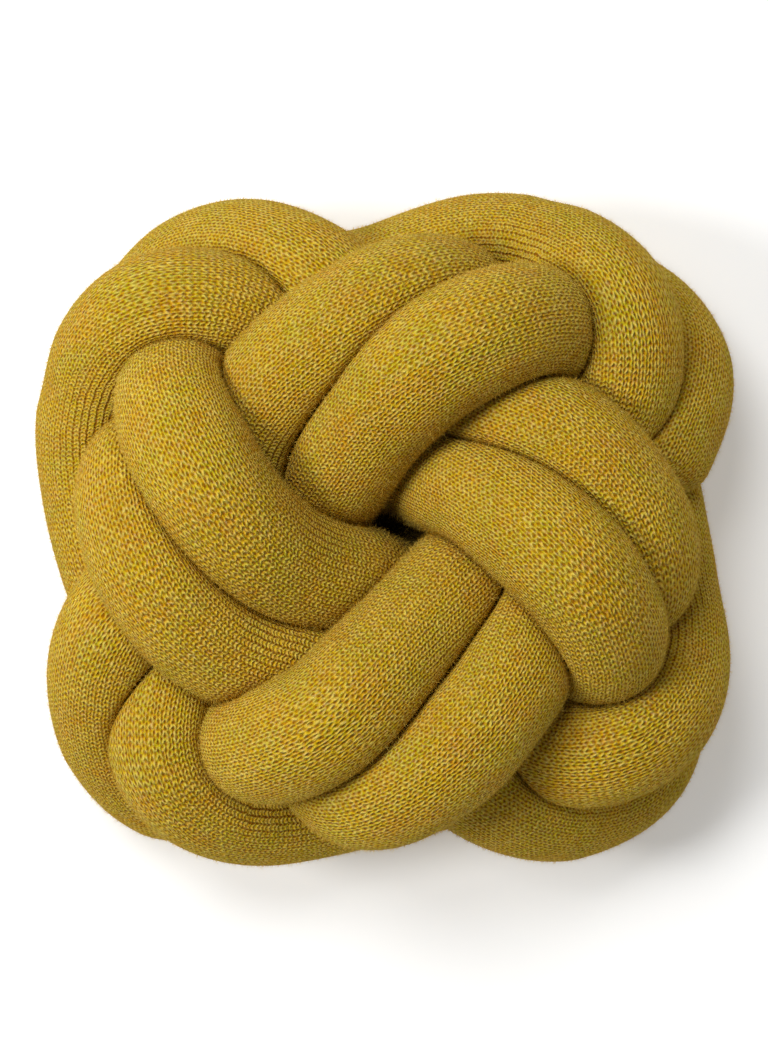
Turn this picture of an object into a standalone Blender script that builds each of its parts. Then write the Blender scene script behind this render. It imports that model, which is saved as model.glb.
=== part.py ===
"""Knot cushion: one stuffed, knitted tube led twice round a Turk's head of three leads and four bights.

Metres, +Z up. The cushion lies on its back on z = 0. The tube has one centre line. Its skin stands one
tube radius off that line, and stops half way to any other length that presses on it, and at the floor.
"""

import math

import bmesh
import bpy
import numpy as np

MM = 0.001
TINY = 1e-6  # keeps a division clear of nothing
FAR_OFF = 1e6  # the room left where nothing presses

# Driving dimensions, in millimetres.
TUBE_RADIUS = 24.5  # where the stuffed tube lies free
END_LENGTH = 20.0  # over which each gathered end rounds off
ROUTE_MIDDLE = (0.3, 0.7)  # of the finished outline, in the route's own x and y
CREASE_GAP = 1.5  # kept between two lengths that press on each other
FLOOR_SHOULDER = 3.0  # how far below the floor the soft shoulder of a resting length aims
SHOULDER_POWER = 10.0  # a higher power makes a sharper shoulder beside a crease
MOST_SWELL = 1.08  # a squeezed length bulges to at most this many radii
BEND_SHARE = 0.85  # of the bend's radius that the inner side of a bend may use
SWELL_ROUNDS = 4  # in which the swell settles
OWN_REACH = 3.0  # radii along the tube within which a length doesn't press on itself
OTHERS_REACH = 2.6  # radii from a section's centre beyond which no other length presses on it

# How finely the tube is drawn, in millimetres and counts.
LINE_STEP = 4.0  # between samples of the centre line
RING_STEP = 12.5  # between rings of the skin
RING_POINTS = 14
END_STATIONS = (2.0, 6.0)  # extra rings, from each tip

MUSTARD = (0.43, 0.27, 0.022, 1.0)
KNIT_ROUGHNESS = 0.95

# The route of the tube's centre line, as (x, y, z) in millimetres. Each pass comes up beside the hole in
# the face, crosses over one side of the knot, dives, runs under the next side, climbs outside the corner
# after it, and tucks in below the following pass. The first round is the inner strand of each pair, the
# second the outer.
ROUTE = {
    "first end, up through the underside": [(6, -2, 3), (9, -4, 20), (30, -14, 46)],
    "inner, lower": [
        (39, -17, 82), (8, -47, 116), (-25, -78, 127), (-46, -87, 108), (-56, -82, 66), (-68, -68, 36),
        (-94, -48, 34), (-114, -10, 52), (-122, 34, 58), (-117, 69, 70), (-93, 92, 86), (-63, 90, 82),
        (-36, 70, 69), (-15, 48, 54),
    ],
    "inner, right": [
        (24, 26, 82), (52, 9, 117), (79, -16, 129), (91, -38, 114), (86, -56, 72), (73, -74, 38),
        (48, -94, 33), (12, -105, 46), (-27, -114, 50), (-67, -115, 60), (-90, -92, 76), (-87, -60, 76),
        (-69, -31, 65), (-45, -4, 57),
    ],
    "inner, upper": [
        (-22, 24, 90), (-1, 52, 117), (30, 76, 127), (59, 85, 108), (73, 75, 66), (86, 62, 36),
        (104, 38, 34), (113, 6, 46), (119, -30, 55), (120, -64, 70), (101, -86, 84), (71, -88, 80),
        (46, -68, 70), (18, -46, 61),
    ],
    "inner, left": [
        (-9, -24, 84), (-44, -11, 112), (-72, 20, 129), (-85, 49, 112), (-78, 68, 66), (-62, 83, 34),
        (-34, 99, 32), (0, 107, 46), (37, 118, 54), (75, 113, 68), (98, 90, 86), (98, 58, 82),
        (84, 28, 74), (74, -4, 81),
    ],
    "outer, lower": [
        (59, -45, 103), (36, -80, 120), (-3, -106, 104), (-24, -92, 64), (-34, -58, 30), (-64, -30, 21),
        (-101, -4, 21), (-117, 32, 21), (-113, 70, 21), (-98, 99, 26), (-68, 116, 46), (-25, 102, 75),
        (10, 70, 75),
    ],
    "outer, right": [
        (47, 50, 98), (86, 27, 110), (106, -10, 99), (92, -28, 62), (61, -38, 30), (33, -68, 21),
        (-4, -94, 21), (-50, -107, 21), (-95, -109, 26), (-114, -84, 52), (-106, -34, 88), (-66, 6, 82),
    ],
    "outer, upper": [
        (-54, 45, 96), (-26, 76, 111), (16, 98, 100), (37, 86, 62), (44, 52, 30), (74, 24, 21),
        (100, -14, 21), (116, -60, 21), (111, -99, 28), (68, -115, 56), (32, -97, 80), (-10, -66, 88),
    ],
    "outer, left": [
        (-62, -47, 101), (-94, -14, 113), (-102, 20, 97), (-82, 30, 60), (-50, 38, 30), (-20, 68, 21),
        (22, 95, 21), (66, 105, 21), (103, 98, 26), (124, 67, 50),
    ],
    "last end, tucked in": [(114, 34, 68), (107, 18, 72)],
}


def clear_scene():
    for obj in list(bpy.data.objects):
        bpy.data.objects.remove(obj, do_unlink=True)


def bends_at(knots, rows):
    """The second derivative at each row of the natural cubic spline through the rows."""
    count = len(rows)
    gaps = np.diff(knots)
    slopes = np.diff(rows, axis=0) / gaps[:, None]
    system = np.eye(count)
    right = np.zeros_like(rows)
    for i in range(1, count - 1):
        system[i, i - 1 : i + 2] = gaps[i - 1], 2.0 * (gaps[i - 1] + gaps[i]), gaps[i]
        right[i] = 6.0 * (slopes[i] - slopes[i - 1])
    return np.linalg.solve(system, right)


def smooth_line(rows, step):
    """Evenly spaced points on the cubic spline through the rows, brought over the origin."""
    rows = np.array(rows, dtype=float) - (*ROUTE_MIDDLE, 0.0)
    knots = np.concatenate([[0.0], np.cumsum(np.linalg.norm(np.diff(rows, axis=0), axis=1))])
    bends = bends_at(knots, rows)
    along = np.linspace(0.0, knots[-1], int(knots[-1]))
    left = np.clip(np.searchsorted(knots, along, side="right") - 1, 0, len(rows) - 2)
    gap = (knots[left + 1] - knots[left])[:, None]
    after = (along[:, None] - knots[left][:, None]) / gap
    before = 1.0 - after
    curve = before * rows[left] + after * rows[left + 1]
    curve += gap**2 / 6.0 * ((before**3 - before) * bends[left] + (after**3 - after) * bends[left + 1])
    length = np.concatenate([[0.0], np.cumsum(np.linalg.norm(np.diff(curve, axis=0), axis=1))])
    even = np.linspace(0.0, length[-1], round(length[-1] / step) + 1)
    return np.stack([np.interp(even, length, curve[:, axis]) for axis in range(3)], axis=1)


def frames_along(line):
    """Tangent, side and up vectors at each point, turned no more than the line itself turns."""
    tangents = np.gradient(line, axis=0)
    tangents /= np.linalg.norm(tangents, axis=1)[:, None]
    side = np.cross(tangents[0], (0.0, 0.0, 1.0))
    sides = []
    for tangent in tangents:
        side = side - tangent * side.dot(tangent)
        side /= np.linalg.norm(side)
        sides.append(side)
    sides = np.array(sides)
    return tangents, sides, np.cross(tangents, sides)


def soft_least(distances):
    """A smooth least of several distances, each an array."""
    return sum(distance**-SHOULDER_POWER for distance in distances) ** (-1.0 / SHOULDER_POWER)


def room_to_others(centre, directions, others):
    """How far each direction runs before it is as near to another length of the tube as to its own."""
    apart = centre - others
    towards = CREASE_GAP - apart @ directions.T
    room = (np.sum(apart**2, axis=1) - CREASE_GAP**2)[:, None] / (2.0 * np.maximum(towards, TINY))
    return room.min(axis=0, initial=FAR_OFF)


def reach_of(centre, directions, bend, others):
    """The skin's distance from the centre in each direction, where a section keeps the free tube's area."""
    inward = np.maximum(directions @ bend, TINY)
    down = np.maximum(-directions[:, 2], TINY)
    limits = [
        room_to_others(centre, directions, others),
        BEND_SHARE / inward,
        (centre[2] + FLOOR_SHOULDER) / down,
    ]
    swell = 1.0
    for _ in range(SWELL_ROUNDS):
        reach = soft_least([np.full(len(directions), TUBE_RADIUS * swell), *limits])
        filled = np.sqrt(np.mean(reach**2)) / TUBE_RADIUS
        swell = min(MOST_SWELL, swell / filled)
    return np.minimum(reach, centre[2] / down)


def end_taper(along, length):
    """One along the tube, and falling to nothing over each gathered end."""
    inside = min(along, length - along) / END_LENGTH
    return math.sqrt(1.0 - (1.0 - min(inside, 1.0)) ** 2)


def ring_stations(length):
    """Where the rings stand along the tube: evenly, and closer where each end rounds off."""
    even = np.linspace(0.0, length, round(length / RING_STEP) + 1)[1:-1]
    first = np.array(END_STATIONS)
    return np.concatenate([first, even, length - first[::-1]])


def tube_rings(rows):
    """The skin as rings of points, from the one end's tip to the other's."""
    line = smooth_line(rows, LINE_STEP)
    length = LINE_STEP * (len(line) - 1)
    tangents, sides, ups = frames_along(line)
    bends = np.gradient(tangents, axis=0) / LINE_STEP
    angles = np.arange(RING_POINTS) * 2.0 * math.pi / RING_POINTS
    stations = np.arange(len(line)) * LINE_STEP
    rings = []
    for along in ring_stations(length):
        centre, side, up, bend = [
            np.array([np.interp(along, stations, array[:, axis]) for axis in range(3)])
            for array in (line, sides, ups, bends)
        ]
        directions = np.outer(np.cos(angles), side) + np.outer(np.sin(angles), up)
        directions /= np.linalg.norm(directions, axis=1)[:, None]
        elsewhere = np.abs(stations - along) > OWN_REACH * TUBE_RADIUS
        close = np.linalg.norm(line - centre, axis=1) < OTHERS_REACH * TUBE_RADIUS
        reach = reach_of(centre, directions, bend, line[elsewhere & close]) * end_taper(along, length)
        rings.append(centre + directions * reach[:, None])
    return line[0], rings, line[-1]


def skin_mesh(name, first_tip, rings, last_tip):
    """A closed mesh lofted through the rings, which are unlike sections, between the two tips."""
    shape = bmesh.new()
    loops = [[shape.verts.new(point * MM) for point in ring] for ring in rings]
    for ring, after in zip(loops, loops[1:]):
        for i in range(RING_POINTS):
            j = (i + 1) % RING_POINTS
            shape.faces.new((ring[i], ring[j], after[j], after[i]))
    for tip, ring in ((first_tip, loops[0]), (last_tip, loops[-1])):
        point = shape.verts.new(tip * MM)
        for i in range(RING_POINTS):
            shape.faces.new((point, ring[i], ring[(i + 1) % RING_POINTS]))
    bmesh.ops.recalc_face_normals(shape, faces=shape.faces)
    mesh = bpy.data.meshes.new(name)
    shape.to_mesh(mesh)
    shape.free()
    return mesh


def knit_material():
    """Mustard wool knit over loose fibre."""
    material = bpy.data.materials.new("mustard_wool_knit")
    material.use_nodes = True
    shader = material.node_tree.nodes["Principled BSDF"]
    shader.inputs["Base Color"].default_value = MUSTARD
    shader.inputs["Roughness"].default_value = KNIT_ROUGHNESS
    shader.inputs["Metallic"].default_value = 0.0
    return material


def main():
    clear_scene()
    collection = bpy.data.collections.new("knot_cushion")
    bpy.context.scene.collection.children.link(collection)
    rows = [row for rows in ROUTE.values() for row in rows]
    tube = bpy.data.objects.new("knot_tube", skin_mesh("knot_tube", *tube_rings(rows)))
    tube.data.materials.append(knit_material())
    collection.objects.link(tube)


main()
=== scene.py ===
"""Looks of the knot cushion: a stuffed tube of heathered wool knit, led twice round a Turk's head knot.

Metres, +Z up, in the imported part's own frame. The cushion lies on its back, and the camera looks down on its
face.
"""

import math

import bpy
import numpy as np
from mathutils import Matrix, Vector


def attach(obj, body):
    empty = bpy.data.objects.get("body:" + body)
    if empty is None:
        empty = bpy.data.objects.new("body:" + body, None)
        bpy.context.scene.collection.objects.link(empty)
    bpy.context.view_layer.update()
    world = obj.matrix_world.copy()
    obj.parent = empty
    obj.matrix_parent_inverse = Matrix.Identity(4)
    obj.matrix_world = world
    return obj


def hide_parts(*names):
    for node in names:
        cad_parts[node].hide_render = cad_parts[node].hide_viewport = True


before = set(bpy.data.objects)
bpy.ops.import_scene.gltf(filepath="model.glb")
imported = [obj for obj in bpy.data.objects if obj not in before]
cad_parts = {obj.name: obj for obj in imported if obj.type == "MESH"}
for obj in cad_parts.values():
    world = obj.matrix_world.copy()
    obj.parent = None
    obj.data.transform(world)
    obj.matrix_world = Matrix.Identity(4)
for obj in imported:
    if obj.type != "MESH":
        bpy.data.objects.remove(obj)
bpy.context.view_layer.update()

MM = 0.001
TINY = 1e-6  # keeps a division clear of nothing
FAR_OFF = 1e6  # the room left where nothing presses

# The tube, in millimetres, as in the part's source.
TUBE_RADIUS = 24.5  # where the stuffed tube lies free
END_LENGTH = 20.0  # over which each gathered end rounds off
ROUTE_MIDDLE = (0.3, 0.7)  # of the finished outline, in the route's own x and y
FLOOR_SHOULDER = 3.0  # how far below the floor the soft shoulder of a resting length aims
MOST_SWELL = 1.08  # a squeezed length bulges to at most this many radii
BEND_SHARE = 0.85  # of the bend's radius that the inner side of a bend may use
SWELL_ROUNDS = 4  # in which the swell settles
OWN_REACH = 3.0  # radii along the tube within which a length doesn't press on itself
OTHERS_REACH = 2.6  # radii from a section's centre beyond which no other length presses on it

# The cloth, in millimetres and counts. It closes its creases tighter than the part's one solid may.
CREASE_GAP = 0.2  # between two lengths of cloth that press on each other
SHOULDER_POWER = 20.0  # a higher power makes a sharper shoulder beside a crease
LINE_STEP = 2.0  # between samples of the centre line
RING_STEP = 3.0  # between rings of the skin
RING_POINTS = 64
RING_ANGLES = np.arange(RING_POINTS) * 2.0 * math.pi / RING_POINTS
END_STATIONS = (0.15, 0.6, 1.3, 2.3, 3.6, 5.2)  # extra rings, from each tip
END_ROOM = 1.0  # the least from these to the even rings
WALES = 52  # columns of stitches round the tube, each 3.0 wide
COURSE_HEIGHT = 2.1  # of one round of stitches
LAST_TIP_COURSE = 0.1  # courses from the last ring to the tip
OPEN_WIDTH = 6.0  # room beside the skin from which it counts as open to the air

# The filling bunches a little, so the skin dips between the bunches: how long each dip is, how many stand
# round the tube, where it starts in turns, and how deep it is as a share of the reach.
DIPS = {
    "long": (131.0, 1, 0.10, 0.012),
    "slanting": (57.0, 2, 0.35, 0.010),
    "short": (34.0, 3, 0.72, 0.006),
}

# The route of the tube's centre line, as (x, y, z) in millimetres, as in the part's source: up through the
# underside, round the knot as the inner strand of each pair, round again as the outer, and in.
ROUTE = {
    "first end, up through the underside": [(6, -2, 3), (9, -4, 20), (30, -14, 46)],
    "inner, lower": [
        (39, -17, 82), (8, -47, 116), (-25, -78, 127), (-46, -87, 108), (-56, -82, 66), (-68, -68, 36),
        (-94, -48, 34), (-114, -10, 52), (-122, 34, 58), (-117, 69, 70), (-93, 92, 86), (-63, 90, 82),
        (-36, 70, 69), (-15, 48, 54),
    ],
    "inner, right": [
        (24, 26, 82), (52, 9, 117), (79, -16, 129), (91, -38, 114), (86, -56, 72), (73, -74, 38),
        (48, -94, 33), (12, -105, 46), (-27, -114, 50), (-67, -115, 60), (-90, -92, 76), (-87, -60, 76),
        (-69, -31, 65), (-45, -4, 57),
    ],
    "inner, upper": [
        (-22, 24, 90), (-1, 52, 117), (30, 76, 127), (59, 85, 108), (73, 75, 66), (86, 62, 36),
        (104, 38, 34), (113, 6, 46), (119, -30, 55), (120, -64, 70), (101, -86, 84), (71, -88, 80),
        (46, -68, 70), (18, -46, 61),
    ],
    "inner, left": [
        (-9, -24, 84), (-44, -11, 112), (-72, 20, 129), (-85, 49, 112), (-78, 68, 66), (-62, 83, 34),
        (-34, 99, 32), (0, 107, 46), (37, 118, 54), (75, 113, 68), (98, 90, 86), (98, 58, 82),
        (84, 28, 74), (74, -4, 81),
    ],
    "outer, lower": [
        (59, -45, 103), (36, -80, 120), (-3, -106, 104), (-24, -92, 64), (-34, -58, 30), (-64, -30, 21),
        (-101, -4, 21), (-117, 32, 21), (-113, 70, 21), (-98, 99, 26), (-68, 116, 46), (-25, 102, 75),
        (10, 70, 75),
    ],
    "outer, right": [
        (47, 50, 98), (86, 27, 110), (106, -10, 99), (92, -28, 62), (61, -38, 30), (33, -68, 21),
        (-4, -94, 21), (-50, -107, 21), (-95, -109, 26), (-114, -84, 52), (-106, -34, 88), (-66, 6, 82),
    ],
    "outer, upper": [
        (-54, 45, 96), (-26, 76, 111), (16, 98, 100), (37, 86, 62), (44, 52, 30), (74, 24, 21),
        (100, -14, 21), (116, -60, 21), (111, -99, 28), (68, -115, 56), (32, -97, 80), (-10, -66, 88),
    ],
    "outer, left": [
        (-62, -47, 101), (-94, -14, 113), (-102, 20, 97), (-82, 30, 60), (-50, 38, 30), (-20, 68, 21),
        (22, 95, 21), (66, 105, 21), (103, 98, 26), (124, 67, 50),
    ],
    "last end, tucked in": [(114, 34, 68), (107, 18, 72)],
}


# ---- shape of the tube ----


def bends_at(knots, rows):
    """The second derivative at each row of the natural cubic spline through the rows."""
    count = len(rows)
    gaps = np.diff(knots)
    slopes = np.diff(rows, axis=0) / gaps[:, None]
    system = np.eye(count)
    right = np.zeros_like(rows)
    for i in range(1, count - 1):
        system[i, i - 1 : i + 2] = gaps[i - 1], 2.0 * (gaps[i - 1] + gaps[i]), gaps[i]
        right[i] = 6.0 * (slopes[i] - slopes[i - 1])
    return np.linalg.solve(system, right)


def smooth_line(rows, step):
    """Evenly spaced points on the cubic spline through the rows, brought over the origin."""
    rows = np.array(rows, dtype=float) - (*ROUTE_MIDDLE, 0.0)
    knots = np.concatenate([[0.0], np.cumsum(np.linalg.norm(np.diff(rows, axis=0), axis=1))])
    bends = bends_at(knots, rows)
    along = np.linspace(0.0, knots[-1], int(knots[-1]))
    left = np.clip(np.searchsorted(knots, along, side="right") - 1, 0, len(rows) - 2)
    gap = (knots[left + 1] - knots[left])[:, None]
    after = (along[:, None] - knots[left][:, None]) / gap
    before = 1.0 - after
    curve = before * rows[left] + after * rows[left + 1]
    curve += gap**2 / 6.0 * ((before**3 - before) * bends[left] + (after**3 - after) * bends[left + 1])
    length = np.concatenate([[0.0], np.cumsum(np.linalg.norm(np.diff(curve, axis=0), axis=1))])
    even = np.linspace(0.0, length[-1], round(length[-1] / step) + 1)
    return np.stack([np.interp(even, length, curve[:, axis]) for axis in range(3)], axis=1)


def frames_along(line):
    """Tangent, side and up vectors at each point, turned no more than the line itself turns."""
    tangents = np.gradient(line, axis=0)
    tangents /= np.linalg.norm(tangents, axis=1)[:, None]
    side = np.cross(tangents[0], (0.0, 0.0, 1.0))
    sides = []
    for tangent in tangents:
        side = side - tangent * side.dot(tangent)
        side /= np.linalg.norm(side)
        sides.append(side)
    sides = np.array(sides)
    return tangents, sides, np.cross(tangents, sides)


def soft_least(distances):
    """A smooth least of several distances, each an array."""
    return sum(distance**-SHOULDER_POWER for distance in distances) ** (-1.0 / SHOULDER_POWER)


def room_to_others(centre, directions, others):
    """How far each direction runs before it is as near to another length of the tube as to its own centre."""
    apart = centre - others
    towards = CREASE_GAP - apart @ directions.T
    room = (np.sum(apart**2, axis=1) - CREASE_GAP**2)[:, None] / (2.0 * np.maximum(towards, TINY))
    return room.min(axis=0, initial=FAR_OFF)


def reach_of(centre, directions, bend, others):
    """The skin's distance from the centre in each direction, and the room left outside it."""
    inward = np.maximum(directions @ bend, TINY)
    down = np.maximum(-directions[:, 2], TINY)
    room = room_to_others(centre, directions, others)
    limits = [room, BEND_SHARE / inward, (centre[2] + FLOOR_SHOULDER) / down]
    swell = 1.0
    for _ in range(SWELL_ROUNDS):
        reach = soft_least([np.full(len(directions), TUBE_RADIUS * swell), *limits])
        filled = np.sqrt(np.mean(reach**2)) / TUBE_RADIUS
        swell = min(MOST_SWELL, swell / filled)
    reach = np.minimum(reach, centre[2] / down)
    return reach, np.minimum(room, centre[2] / down) - reach


def dip_share(along):
    """How much of the reach is left beside the bunches of filling."""
    share = np.ones(RING_POINTS)
    for length, around, start, depth in DIPS.values():
        turn = 2.0 * math.pi * (along / length + start)
        share -= depth * (0.5 + 0.5 * np.sin(around * RING_ANGLES + turn))
    return share


def end_taper(along, length):
    """One along the tube, and falling to nothing over each gathered end."""
    inside = min(along, length - along) / END_LENGTH
    return math.sqrt(1.0 - (1.0 - min(inside, 1.0)) ** 2)


def ring_stations(length):
    """Where the rings stand along the tube: evenly, and closer where each end rounds off."""
    ends = np.array(END_STATIONS)
    even = np.linspace(0.0, length, round(length / RING_STEP) + 1)
    even = even[(even > ends[-1] + END_ROOM) & (even < length - ends[-1] - END_ROOM)]
    return np.concatenate([ends, even, length - ends[::-1]])


def tube_skin(rows):
    """The skin's rings, where each stands, its room outside, its cloth's stretch, and the tube's two tips."""
    line = smooth_line(rows, LINE_STEP)
    length = LINE_STEP * (len(line) - 1)
    tangents, sides, ups = frames_along(line)
    bends = np.gradient(tangents, axis=0) / LINE_STEP
    stations = np.arange(len(line)) * LINE_STEP
    ring_at = ring_stations(length)
    rings, rooms = [], []
    for along in ring_at:
        centre, side, up, bend = [
            np.array([np.interp(along, stations, array[:, axis]) for axis in range(3)])
            for array in (line, sides, ups, bends)
        ]
        directions = np.outer(np.cos(RING_ANGLES), side) + np.outer(np.sin(RING_ANGLES), up)
        directions /= np.linalg.norm(directions, axis=1)[:, None]
        elsewhere = np.abs(stations - along) > OWN_REACH * TUBE_RADIUS
        close = np.linalg.norm(line - centre, axis=1) < OTHERS_REACH * TUBE_RADIUS
        reach, room = reach_of(centre, directions, bend, line[elsewhere & close])
        reach = reach * dip_share(along) * end_taper(along, length)
        rings.append(centre + directions * reach[:, None])
        rooms.append(room)
    rings = np.array(rings)
    stretch = np.linalg.norm(np.gradient(rings, axis=0), axis=2) / np.gradient(ring_at)[:, None]
    return rings, ring_at, np.array(rooms), stretch, line[0], line[-1]


def add_attribute(mesh, name, kind, values):
    """A value at each vertex of the mesh, kept under a name."""
    field = "vector" if kind == "FLOAT_VECTOR" else "value"
    attribute = mesh.attributes.new(name, kind, "POINT")
    attribute.data.foreach_set(field, np.array(values, np.float32).ravel())


def stitch_map(ring_at):
    """Each face corner's wale and course, in the order of the skin's faces: its sides, then its two tips."""
    step = WALES / RING_POINTS
    wale = np.arange(RING_POINTS) * step
    course = ring_at / COURSE_HEIGHT
    last = course[-1]
    corners = []
    for low, high in zip(course, course[1:]):
        for left in wale:
            corners += [(left, low), (left + step, low), (left + step, high), (left, high)]
    for left in wale:
        corners += [(left + step / 2.0, 0.0), (left + step, course[0]), (left, course[0])]
    for left in wale:
        corners += [(left + step / 2.0, last + LAST_TIP_COURSE), (left, last), (left + step, last)]
    return corners


def skin_mesh(name, rings, ring_at, rooms, stretch, first_tip, last_tip):
    """A closed mesh through the rings, with its stitches' map and what the cloth does at each point."""
    count = len(rings)
    points = np.concatenate([rings.reshape(-1, 3), [first_tip, last_tip]]) * MM
    grid = np.arange(count * RING_POINTS).reshape(count, RING_POINTS)
    here, there = grid[:-1], grid[1:]
    sides = np.stack([here, np.roll(here, -1, 1), np.roll(there, -1, 1), there], axis=-1).reshape(-1, 4)
    tip = count * RING_POINTS
    first_fan = [(tip, after, point) for point, after in zip(grid[0], np.roll(grid[0], -1))]
    last_fan = [(tip + 1, point, after) for point, after in zip(grid[-1], np.roll(grid[-1], -1))]
    mesh = bpy.data.meshes.new(name)
    mesh.from_pydata(points.tolist(), [], sides.tolist() + first_fan + last_fan)
    corners = np.array(stitch_map(ring_at), np.float32)
    mesh.uv_layers.new(name="stitches").uv.foreach_set("vector", corners.ravel())

    # the cloth before it was bent: a straight tube, in millimetres
    straight = np.empty((count, RING_POINTS, 3))
    straight[..., 0] = TUBE_RADIUS * np.cos(RING_ANGLES)
    straight[..., 1] = TUBE_RADIUS * np.sin(RING_ANGLES)
    straight[..., 2] = ring_at[:, None]
    tips = [(0.0, 0.0, 0.0), (0.0, 0.0, ring_at[-1])]
    add_attribute(mesh, "unbent", "FLOAT_VECTOR", np.concatenate([straight.reshape(-1, 3), tips]))
    # the two tips are neither stretched nor open
    open_skin = np.clip(rooms / OPEN_WIDTH, 0.0, 1.0)
    add_attribute(mesh, "stretch", "FLOAT", [*stretch.ravel(), 1.0, 1.0])
    add_attribute(mesh, "open_skin", "FLOAT", [*open_skin.ravel(), 0.0, 0.0])
    mesh.polygons.foreach_set("use_smooth", [True] * len(mesh.polygons))
    mesh.update()
    return mesh


# ---- materials ----

# The kinds of node that come up most.
MATH = "ShaderNodeMath"
MIX = "ShaderNodeMix"
MAP_RANGE = "ShaderNodeMapRange"
NOISE = "ShaderNodeTexNoise"
COMBINE = "ShaderNodeCombineXYZ"
SEPARATE = "ShaderNodeSeparateXYZ"
SEPARATE_COLOUR = "ShaderNodeSeparateColor"

WHITE = (1.0, 1.0, 1.0, 1.0)
# the yarn's dyes, and the colours of the painted shade and painted highlight laid into the knit
DYES_AND_PAINTED_LIGHT = {
    "mustard": "#D8B218",
    "olive": "#B0AE0E",
    "ochre": "#D28C06",
    # a dye on some legs, and also the painted highlight on the crowns of the legs
    "straw and painted highlight": "#EEDA72",
    "fawn": "#CCA474",
    # painted shade, not a dye: the brown laid in the stitches' holes
    "painted shade between the legs": "#8C5404",
    # painted shade, not a dye: the near black laid in the hole in the face
    "painted shade down the hole": "#2C1C04",
    "sheen": "#F0D888",
}

# Where the wool is uneven: cells of noise to a millimetre of cloth, and how many finer rounds of it.
UNEVENNESS = {
    "drift": (0.25, 2.0),  # of the stitches off their grid, every 4 mm
    "hair": (1.6, 1.0),  # on the yarn, every 0.6 mm
    "fine": (1.1, 5.0),  # the heathering of a leg, every 0.9 mm
    "wide": (0.07, 3.0),  # the heathering of a stretch of tube, every 14 mm
}
DRIFT = 0.6  # stitches, over the whole range of the noise
DYE_PATCHES = 220.0  # on loose wool, to a metre, so one every 4.5 mm

# The stitches' relief, as shares of its depth.
RELIEF_DEPTH = 1.1  # millimetres
LEG = 0.42  # of a leg over the holes beside it
TWIST = 0.44  # of each twist of the yarn at the foot of a leg
CROWN_TWIST = 0.14  # by which a twist is taller on the crown of a leg
TWIST_POWER = 1.2  # a higher power makes narrower twists
RIB = 0.28  # by which ribs stand up and grooves sink, where the courses are squeezed together
SLACK, SQUEEZED = 1.05, 0.72  # the cloth's stretch where ribs start, and where they are full
HAIR = 0.6  # over the whole range of the noise
FULLNESS = 0.5  # by which one leg's twists differ from the next one's
HOLE_HEIGHT = 0.45  # below which painted shade darkens the holes between the legs

# The painted shade in the hole in the face: how far a point looks round for cloth, how little light gets in
# where the painted shade starts and where it is full, and the same for how open the skin is.
LOOK_ROUND = 0.12  # metres
DIM, DARK = 0.16, 0.05
PRESSED, OPEN = 0.2, 0.6


def linear(hex_colour):
    """An sRGB hex colour as linear red, green, blue and alpha."""
    values = [int(hex_colour[i : i + 2], 16) / 255.0 for i in (1, 3, 5)]
    return [v / 12.92 if v <= 0.04045 else ((v + 0.055) / 1.055) ** 2.4 for v in values] + [1.0]


def feed(tree, node, inputs):
    """Sets or links a node's inputs, given by name or number, or in the order in which the node shows them.

    Each is a value, an output of another node, or another node, which then gives the first output it shows.
    """
    if not isinstance(inputs, dict):
        shown = [number for number, socket in enumerate(node.inputs) if socket.enabled]
        inputs = dict(zip(shown, inputs))
    for key, value in inputs.items():
        if isinstance(value, bpy.types.Node):
            value = next(output for output in value.outputs if output.enabled)
        if isinstance(value, bpy.types.NodeSocket):
            tree.links.new(value, node.inputs[key])
        else:
            node.inputs[key].default_value = value


def add(tree, kind, inputs=(), **settings):
    """A node with its settings, its input values and its links."""
    node = tree.nodes.new(kind)
    for key, value in settings.items():
        setattr(node, key, value)
    feed(tree, node, inputs)
    return node


def wave(tree, value, cycles):
    """A smooth wave of the value: nothing where value times cycles is whole, and one half way between."""
    turn = add(tree, MATH, [value, 2.0 * math.pi * cycles], operation="MULTIPLY")
    cosine = add(tree, MATH, [turn], operation="COSINE")
    return add(tree, MATH, [cosine, -0.5, 0.5], operation="MULTIPLY_ADD")


def new_material(name):
    """A material, its tree and its shader."""
    material = bpy.data.materials.new(name)
    material.use_nodes = True
    return material, material.node_tree, material.node_tree.nodes["Principled BSDF"]


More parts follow.
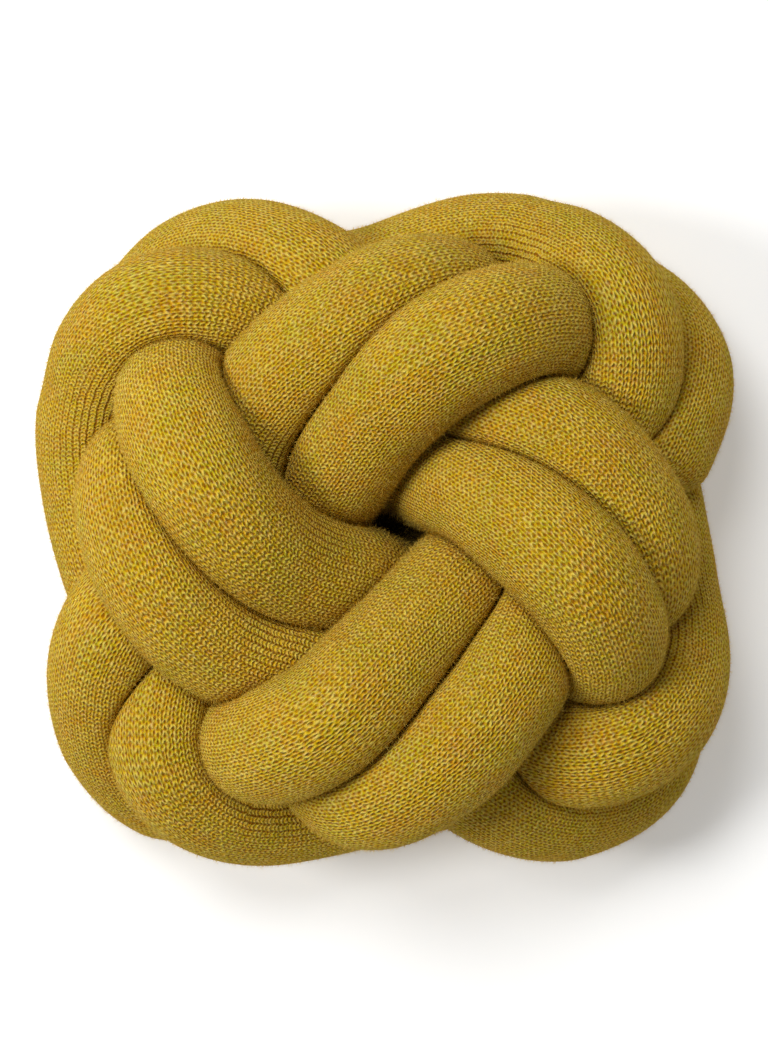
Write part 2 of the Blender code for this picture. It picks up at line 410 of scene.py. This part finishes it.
def wool_knit():
    """Heathered wool in plain knit: matte, its V stitches pale legs round small holes.

    Where a bend squeezes the cloth, its wales stand up as ribs. Its colour also carries painted shade in the
    stitches' holes and in the hole in the face, and a painted highlight on the crowns of the legs.
    """
    material, tree, shader = new_material("heathered_wool_knit")
    stitches = add(tree, "ShaderNodeUVMap", uv_map="stitches")
    wale, course, _ = add(tree, SEPARATE, [stitches]).outputs
    unbent = add(tree, "ShaderNodeAttribute", attribute_name="unbent").outputs["Vector"]
    stretch = add(tree, "ShaderNodeAttribute", attribute_name="stretch").outputs["Fac"]
    open_skin = add(tree, "ShaderNodeAttribute", attribute_name="open_skin").outputs["Fac"]
    noise = {
        name: add(tree, NOISE, {"Vector": unbent, "Scale": to_a_millimetre, "Detail": detail})
        for name, (to_a_millimetre, detail) in UNEVENNESS.items()
    }
    drift, fine, wide = (
        add(tree, SEPARATE_COLOUR, [noise[name].outputs["Color"]]).outputs
        for name in ("drift", "fine", "wide")
    )

    # the yarn feeds unevenly, so the stitches wander a little off their grid
    wale = add(tree, MATH, [drift[0], DRIFT, wale], operation="MULTIPLY_ADD")
    course = add(tree, MATH, [drift[1], DRIFT, course], operation="MULTIPLY_ADD")

    # a wale is a column of V stitches: two legs that climb half a course from its middle to its edge
    across_wale = add(tree, MATH, [wale], operation="FRACT")
    off_middle = add(tree, MATH, [across_wale, 0.5], operation="SUBTRACT")
    across = add(tree, MATH, [off_middle], operation="ABSOLUTE")
    climb = add(tree, MATH, [course, across], operation="ADD")
    twist = add(tree, MATH, [wave(tree, climb, 1.0), TWIST_POWER], operation="POWER")
    legs = wave(tree, across, 2.0)
    edge = wave(tree, across, 1.0)
    twist_height = add(tree, MATH, [legs, CROWN_TWIST, TWIST], operation="MULTIPLY_ADD")
    height = add(tree, MATH, [twist, twist_height], operation="MULTIPLY")
    height = add(tree, MATH, [legs, LEG, height], operation="MULTIPLY_ADD")

    # ribs: the middle of each wale closes up and rises, and its edges sink
    squeeze = add(tree, MAP_RANGE, [stretch, SLACK, SQUEEZED])
    off_legs = add(tree, MATH, [1.0, legs], operation="SUBTRACT")
    off_edge = add(tree, MATH, [1.0, edge], operation="SUBTRACT")
    closed = add(tree, MATH, [off_legs, off_edge], operation="MULTIPLY")
    rib = add(tree, MATH, [closed, squeeze], operation="MULTIPLY")
    height = add(tree, MATH, [rib, RIB, height], operation="MULTIPLY_ADD")
    narrow_edge = add(tree, MATH, [edge, 2.0], operation="POWER")
    groove = add(tree, MATH, [narrow_edge, squeeze], operation="MULTIPLY")
    height = add(tree, MATH, [groove, -RIB, height], operation="MULTIPLY_ADD")

    # hair on the yarn, and no two legs as full
    hair = add(tree, MATH, [noise["hair"], 0.5], operation="SUBTRACT")
    height = add(tree, MATH, [hair, HAIR, height], operation="MULTIPLY_ADD")
    half_wales = add(tree, MATH, [wale, 2.0], operation="MULTIPLY")
    column = add(tree, MATH, [half_wales], operation="FLOOR")
    row = add(tree, MATH, [climb], operation="FLOOR")
    leg_cell = add(tree, COMBINE, [column, row])
    leg_noise = add(tree, "ShaderNodeTexWhiteNoise", [leg_cell], noise_dimensions="3D")
    leg = add(tree, SEPARATE_COLOUR, [leg_noise.outputs["Color"]]).outputs
    fuller = add(tree, MATH, [leg[2], 0.5], operation="SUBTRACT")
    full_twist = add(tree, MATH, [fuller, twist], operation="MULTIPLY")
    height = add(tree, MATH, [full_twist, FULLNESS, height], operation="MULTIPLY_ADD")

    # heathering: fibres of several dyes spun together, so each leg and each part of it differs; the last row
    # is no dye but a painted highlight, paler where the relief stands highest; a row gives what a colour
    # follows, the values at which it starts to show and shows most, and the most of it
    dyes_and_painted_highlight = [
        (wide[0], 0.45, 0.62, 0.50, "olive"),
        (wide[1], 0.50, 0.64, 0.50, "ochre"),
        (fine[0], 0.50, 0.64, 0.65, "ochre"),
        (fine[1], 0.50, 0.64, 0.65, "olive"),
        (fine[2], 0.54, 0.66, 0.70, "fawn"),
        (leg[0], 0.50, 1.00, 0.30, "straw and painted highlight"),
        (leg[1], 0.60, 1.00, 0.20, "ochre"),
        # painted highlight: the higher the relief, the paler the colour
        (height, 0.50, 1.00, 0.45, "straw and painted highlight"),
    ]
    colour = linear(DYES_AND_PAINTED_LIGHT["mustard"])
    for value, start, full, most, dye in dyes_and_painted_highlight:
        share = add(tree, MAP_RANGE, [value, start, full, 0.0, most])
        colour = add(tree, MIX, [share, colour, linear(DYES_AND_PAINTED_LIGHT[dye])], data_type="RGBA")
    # painted shade: below HOLE_HEIGHT the holes between the legs darken to brown, standing in for the shade
    # inside them
    out_of_hole_shade = add(tree, MAP_RANGE, [height, 0.0, HOLE_HEIGHT])
    colour = add(tree, MIX, [out_of_hole_shade, linear(DYES_AND_PAINTED_LIGHT["painted shade between the legs"]), colour], data_type="RGBA")

    # painted shade in the hole in the face: where the AO node finds little light getting in, the colour
    # darkens to near black; a closed crease is left as it is
    light_in = add(tree, "ShaderNodeAmbientOcclusion", {"Distance": LOOK_ROUND}, samples=8).outputs["AO"]
    dark = add(tree, MAP_RANGE, [light_in, DIM, DARK])
    in_the_open = add(tree, MAP_RANGE, [open_skin, PRESSED, OPEN])
    painted_hole_shade = add(tree, MATH, [dark, in_the_open], operation="MULTIPLY")
    colour = add(tree, MIX, [painted_hole_shade, colour, linear(DYES_AND_PAINTED_LIGHT["painted shade down the hole"])], data_type="RGBA")

    relief = add(tree, "ShaderNodeBump", {"Height": height, "Strength": 1.0, "Distance": RELIEF_DEPTH * MM})
    finish = {
        "Base Color": colour,
        "Normal": relief,
        "Roughness": 0.95,
        "Specular IOR Level": 0.05,
        "Sheen Weight": 0.1,
        "Sheen Roughness": 0.5,
        "Sheen Tint": linear(DYES_AND_PAINTED_LIGHT["sheen"]),
    }
    feed(tree, shader, finish)
    return material


def loose_wool(name, pale, deep):
    """Wool fibres off the knit, dull, and patchy between two dyes."""
    material, tree, shader = new_material(name)
    place = add(tree, "ShaderNodeTexCoord").outputs["Object"]
    patch = add(tree, NOISE, {"Vector": place, "Scale": DYE_PATCHES, "Detail": 1.0})
    share = add(tree, MAP_RANGE, [patch, 0.35, 0.65])
    colour = add(tree, MIX, [share, linear(pale), linear(deep)], data_type="RGBA")
    feed(tree, shader, {"Base Color": colour, "Roughness": 1.0, "Specular IOR Level": 0.05})
    return material


def studio_floor():
    """White acrylic table, lit faintly from below, so shadows on it stay pale."""
    material, tree, shader = new_material("white_acrylic_table")
    finish = {
        "Base Color": linear("#FBFBFA"),
        "Emission Color": WHITE,
        "Emission Strength": 0.25,
        "Roughness": 0.9,
        "Specular IOR Level": 0.1,
    }
    feed(tree, shader, finish)
    return material


# ---- what repeats ----

# One fibre, as shares of its own length and width.
BARE_HEIGHT = 1.1  # lengths above the floor up to which no fibre grows
CLEAR_HEIGHT = 1.8  # lengths above the floor from which they all do
NARROWING = 0.85  # of the width that is gone at the tip
BOW = 0.45  # how far the tip bows to one side
SHORTEST = 0.4  # beside the longest

YARN_STEPS = 6  # along one stitch of the gathering yarn
YARN_SIDES = 6


def new_tree(name, inputs):
    """A Geometry Nodes tree with these named inputs, and the outputs of its input node."""
    tree = bpy.data.node_groups.new(name, "GeometryNodeTree")
    tree.is_modifier = True
    tree.interface.new_socket("Geometry", in_out="INPUT", socket_type="NodeSocketGeometry")
    for label, (kind, value) in inputs.items():
        socket = tree.interface.new_socket(label, in_out="INPUT", socket_type="NodeSocket" + kind)
        socket.default_value = value
    tree.interface.new_socket("Geometry", in_out="OUTPUT", socket_type="NodeSocketGeometry")
    return tree, tree.nodes.new("NodeGroupInput").outputs


def finish_tree(tree, instances, material):
    """Makes the instances real, gives them their material and sends them out."""
    whole = add(tree, "GeometryNodeRealizeInstances", {"Geometry": instances})
    dressed = add(tree, "GeometryNodeSetMaterial", {"Geometry": whole, "Material": material})
    add(tree, "NodeGroupOutput", [dressed])


def fuzz_tree(name, material):
    """Short bent fibres that grow on the skin, clear of the floor.

    How open the skin is runs from nothing, where it is pressed, to one. Fibres start at "Bare below", grow
    in full from "Full at" to "Thins from", and end at "Bare above". The last two are over one for wool that
    grows in the open as well.
    """
    tree, given = new_tree(
        name,
        {
            "Fibres per square metre": ("Float", 100000.0),
            "Fibre length": ("Float", 0.003),
            "Fibre width": ("Float", 0.0001),
            "Lean": ("Float", 0.8),
            "Bare below": ("Float", 0.02),
            "Full at": ("Float", 0.2),
            "Thins from": ("Float", 2.0),
            "Bare above": ("Float", 3.0),
            "Segments": ("Int", 3),
            "Seed": ("Int", 1),
        },
    )
    _, _, height = add(tree, SEPARATE, [add(tree, "GeometryNodeInputPosition")]).outputs
    lengths_up = add(tree, MATH, [height, given["Fibre length"]], operation="DIVIDE")
    clear = add(tree, MAP_RANGE, [lengths_up, BARE_HEIGHT, CLEAR_HEIGHT])
    open_skin = add(tree, "GeometryNodeInputNamedAttribute", {"Name": "open_skin"}, data_type="FLOAT")
    free = add(tree, MAP_RANGE, [open_skin, given["Bare below"], given["Full at"]])
    thinned = add(tree, MAP_RANGE, [open_skin, given["Bare above"], given["Thins from"]])
    share = add(tree, MATH, [free, thinned], operation="MULTIPLY")
    share = add(tree, MATH, [share, clear], operation="MULTIPLY")
    density = add(tree, MATH, [given["Fibres per square metre"], share], operation="MULTIPLY")
    grown = add(
        tree,
        "GeometryNodeDistributePointsOnFaces",
        {"Mesh": given["Geometry"], "Density": density, "Seed": given["Seed"]},
        distribute_method="RANDOM",
    )

    # one fibre: a ribbon that narrows to its tip and bows to one side
    rows = add(tree, MATH, [given["Segments"], 1.0], operation="ADD")
    ribbon = add(tree, "GeometryNodeMeshGrid", [1.0, 1.0, 2, rows])
    x, y, _ = add(tree, SEPARATE, [add(tree, "GeometryNodeInputPosition")]).outputs
    up = add(tree, MATH, [y, 0.5], operation="ADD")
    narrowed = add(tree, MATH, [up, -NARROWING, 1.0], operation="MULTIPLY_ADD")
    width = add(tree, MATH, [given["Fibre width"], narrowed], operation="MULTIPLY")
    up_squared = add(tree, MATH, [up, up], operation="MULTIPLY")
    bow = add(tree, MATH, [up_squared, BOW], operation="MULTIPLY")
    bent = [
        add(tree, MATH, [x, width], operation="MULTIPLY"),
        add(tree, MATH, [bow, given["Fibre length"]], operation="MULTIPLY"),
        add(tree, MATH, [up, given["Fibre length"]], operation="MULTIPLY"),
    ]
    fibre = add(tree, "GeometryNodeSetPosition", {"Geometry": ribbon, "Position": add(tree, COMBINE, bent)})

    # each stands off the skin, leaning its own way
    back = add(tree, MATH, [given["Lean"], -1.0], operation="MULTIPLY")
    least = add(tree, COMBINE, [back, back, 0.0])
    most = add(tree, COMBINE, [given["Lean"], given["Lean"], 2.0 * math.pi])
    lean = add(
        tree,
        "FunctionNodeRandomValue",
        {"Min": least, "Max": most, "Seed": given["Seed"]},
        data_type="FLOAT_VECTOR",
    )
    turned = add(
        tree,
        "FunctionNodeRotateRotation",
        [grown.outputs["Rotation"], lean],
        rotation_space="LOCAL",
    )
    size = add(
        tree,
        "FunctionNodeRandomValue",
        {2: SHORTEST, 3: 1.0, "Seed": given["Seed"]},
        data_type="FLOAT",
    )
    spread = add(
        tree,
        "GeometryNodeInstanceOnPoints",
        {"Points": grown, "Instance": fibre, "Rotation": turned, "Scale": size},
    )
    finish_tree(tree, spread, material)
    return tree


def gather_tree(name, material):
    """Stitches of yarn that draw the end of the tube shut, standing like spokes round its tip."""
    tree, given = new_tree(
        name,
        {
            "Stitches": ("Int", 9),
            "Inner radius": ("Float", 0.0015),
            "Outer radius": ("Float", 0.009),
            "Yarn radius": ("Float", 0.0006),
            "Rise": ("Float", 0.0012),
            "Foot height": ("Float", -0.0015),
            "Tip": ("Vector", (0.0, 0.0, 0.0)),
            "Turn": ("Vector", (0.0, 0.0, 0.0)),
        },
    )
    both_radii = add(tree, MATH, [given["Inner radius"], given["Outer radius"]], operation="ADD")
    middle = add(tree, MATH, [both_radii, 0.5], operation="MULTIPLY")
    start = add(tree, COMBINE, [given["Inner radius"]])
    over = add(tree, COMBINE, [middle, 0.0, given["Rise"]])
    foot = add(tree, COMBINE, [given["Outer radius"], 0.0, given["Foot height"]])
    path = add(tree, "GeometryNodeCurveQuadraticBezier", [YARN_STEPS, start, over, foot])
    section = add(tree, "GeometryNodeCurvePrimitiveCircle", [YARN_SIDES, given["Yarn radius"]])
    yarn = add(tree, "GeometryNodeCurveToMesh", {"Curve": path, "Profile Curve": section, "Fill Caps": True})
    places = add(tree, "GeometryNodePoints", {"Count": given["Stitches"]})
    share = add(tree, MATH, [add(tree, "GeometryNodeInputIndex"), given["Stitches"]], operation="DIVIDE")
    angle = add(tree, MATH, [share, 2.0 * math.pi], operation="MULTIPLY")
    turn = add(tree, COMBINE, [0.0, 0.0, angle])
    spokes = add(tree, "GeometryNodeInstanceOnPoints", {"Points": places, "Instance": yarn, "Rotation": turn})
    placed = add(tree, "GeometryNodeTransform", [spokes, given["Tip"], given["Turn"]])
    finish_tree(tree, placed, material)
    return tree


def grow(name, base, tree, values):
    """A plain mesh object of what the tree makes on the base mesh, with these values for its named inputs."""
    holder = bpy.data.objects.new(name, base.copy())
    bpy.context.scene.collection.objects.link(holder)
    modifier = holder.modifiers.new(name, "NODES")
    modifier.node_group = tree
    for item in tree.interface.items_tree:
        if item.name in values and item.in_out == "INPUT":
            modifier[item.identifier] = values[item.name]
    graph = bpy.context.evaluated_depsgraph_get()
    mesh = bpy.data.meshes.new_from_object(holder.evaluated_get(graph), depsgraph=graph)
    mesh.name = name
    holder.modifiers.remove(modifier)
    holder.data = mesh
    return holder


# ---- the cushion ----

# Loose wool, by piece: fibres to a square metre, their length and width in metres, how far they lean in
# radians, segments to a fibre, and the seed. They are drawn three to five times as wide as real wool, which
# is 0.03 mm, and are fewer, so that they show.
FIBRE_COLUMNS = ("Fibres per square metre", "Fibre length", "Fibre width", "Lean", "Segments", "Seed")
FIBRES = {
    "wool_nap": (315000.0, 0.0016, 0.00014, 0.9, 1, 3),
    "wool_down": (310000.0, 0.0022, 0.00012, 0.7, 1, 5),
    "crease_wool": (900000.0, 0.0022, 0.00008, 1.0, 1, 7),
    "flyaway_wool": (70000.0, 0.0045, 0.00008, 1.1, 2, 11),
}
IN_CREASES = {"Bare below": 0.01, "Full at": 0.03, "Thins from": 0.15, "Bare above": 0.4}
END_RING = 8  # its middle and the tip show which way the end points

rows = [row for rows in ROUTE.values() for row in rows]
rings, ring_at, rooms, stretch, first_tip, last_tip = tube_skin(rows)
tube = bpy.data.objects.new(
    "knit_tube_skin",
    skin_mesh("knit_tube_skin", rings, ring_at, rooms, stretch, first_tip, last_tip),
)
tube.data.materials.append(wool_knit())
bpy.context.scene.collection.objects.link(tube)

# standing loose, fibres are paler than the yarn, because light passes round them
fibre = loose_wool("loose_wool_fibre", "#E6C860", "#C89C28")
matted = loose_wool("matted_wool_fibre", "#DCA010", "#BC7C04")
loose_fibres = fuzz_tree("loose_fibres", fibre)
matted_fibres = fuzz_tree("matted_fibres", matted)
fuzz = []
for name, sizes in FIBRES.items():
    values = dict(zip(FIBRE_COLUMNS, sizes))
    if name == "crease_wool":
        fuzz.append(grow(name, tube.data, matted_fibres, values | IN_CREASES))
    else:
        fuzz.append(grow(name, tube.data, loose_fibres, values))

out_of_end = Vector(first_tip - rings[END_RING].mean(axis=0))
drawn = grow(
    "gathering_yarn",
    tube.data,
    gather_tree("gathered_end", fibre),
    {"Tip": tuple(first_tip * MM), "Turn": tuple(out_of_end.to_track_quat("Z", "Y").to_euler())},
)

for piece in (tube, *fuzz, drawn):
    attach(piece, "root")
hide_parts("knot_tube")

# ---- studio ----

# In metres, watts and shares.
HALF_FLOOR = 4.0
FLOOR_CORNERS = [(-1, -1), (1, -1), (1, 1), (-1, 1)]
AIM = Vector((0.0, 0.0, 0.05))
AIR_STRENGTH = 0.23
CAMERA_HEIGHT = 1.6
SENSOR = 36.0  # millimetres
PHOTO_HEIGHT = 1060  # pixels
PIXEL = 0.43 * MM  # what one pixel of the photo covers at the sharp height
SHARP_HEIGHT = 0.05

floor_mesh = bpy.data.meshes.new("studio_floor")
floor_mesh.from_pydata([(x * HALF_FLOOR, y * HALF_FLOOR, 0.0) for x, y in FLOOR_CORNERS], [], [(0, 1, 2, 3)])
floor = bpy.data.objects.new("studio_floor", floor_mesh)
floor.data.materials.append(studio_floor())
bpy.context.scene.collection.objects.link(floor)


def softbox(name, place, size, watts):
    """A round soft light at the place, aimed at the cushion."""
    light = bpy.data.lights.new(name, "AREA")
    light.shape = "DISK"
    light.size = size
    light.energy = watts
    lamp = bpy.data.objects.new(name, light)
    lamp.location = place
    lamp.rotation_euler = (AIM - Vector(place)).to_track_quat("-Z", "Y").to_euler()
    bpy.context.scene.collection.objects.link(lamp)


softbox("key_from_the_left", (-1.29, 0.0, 1.53), 0.6, 18.5)
softbox("fill_from_the_top_edge", (-0.47, 0.81, 1.77), 1.0, 21.0)

world = bpy.data.worlds.new("studio_air")
world.use_nodes = True
feed(world.node_tree, world.node_tree.nodes["Background"], {"Color": WHITE, "Strength": AIR_STRENGTH})
bpy.context.scene.world = world
bpy.context.scene.view_settings.view_transform = "Standard"

lens = bpy.data.cameras.new("camera")
lens.sensor_width = SENSOR
lens.lens = SENSOR * (CAMERA_HEIGHT - SHARP_HEIGHT) / (PHOTO_HEIGHT * PIXEL)
camera = bpy.data.objects.new("camera", lens)
camera.location = (0.0, 0.0, CAMERA_HEIGHT)
bpy.context.scene.collection.objects.link(camera)
bpy.context.scene.camera = camera
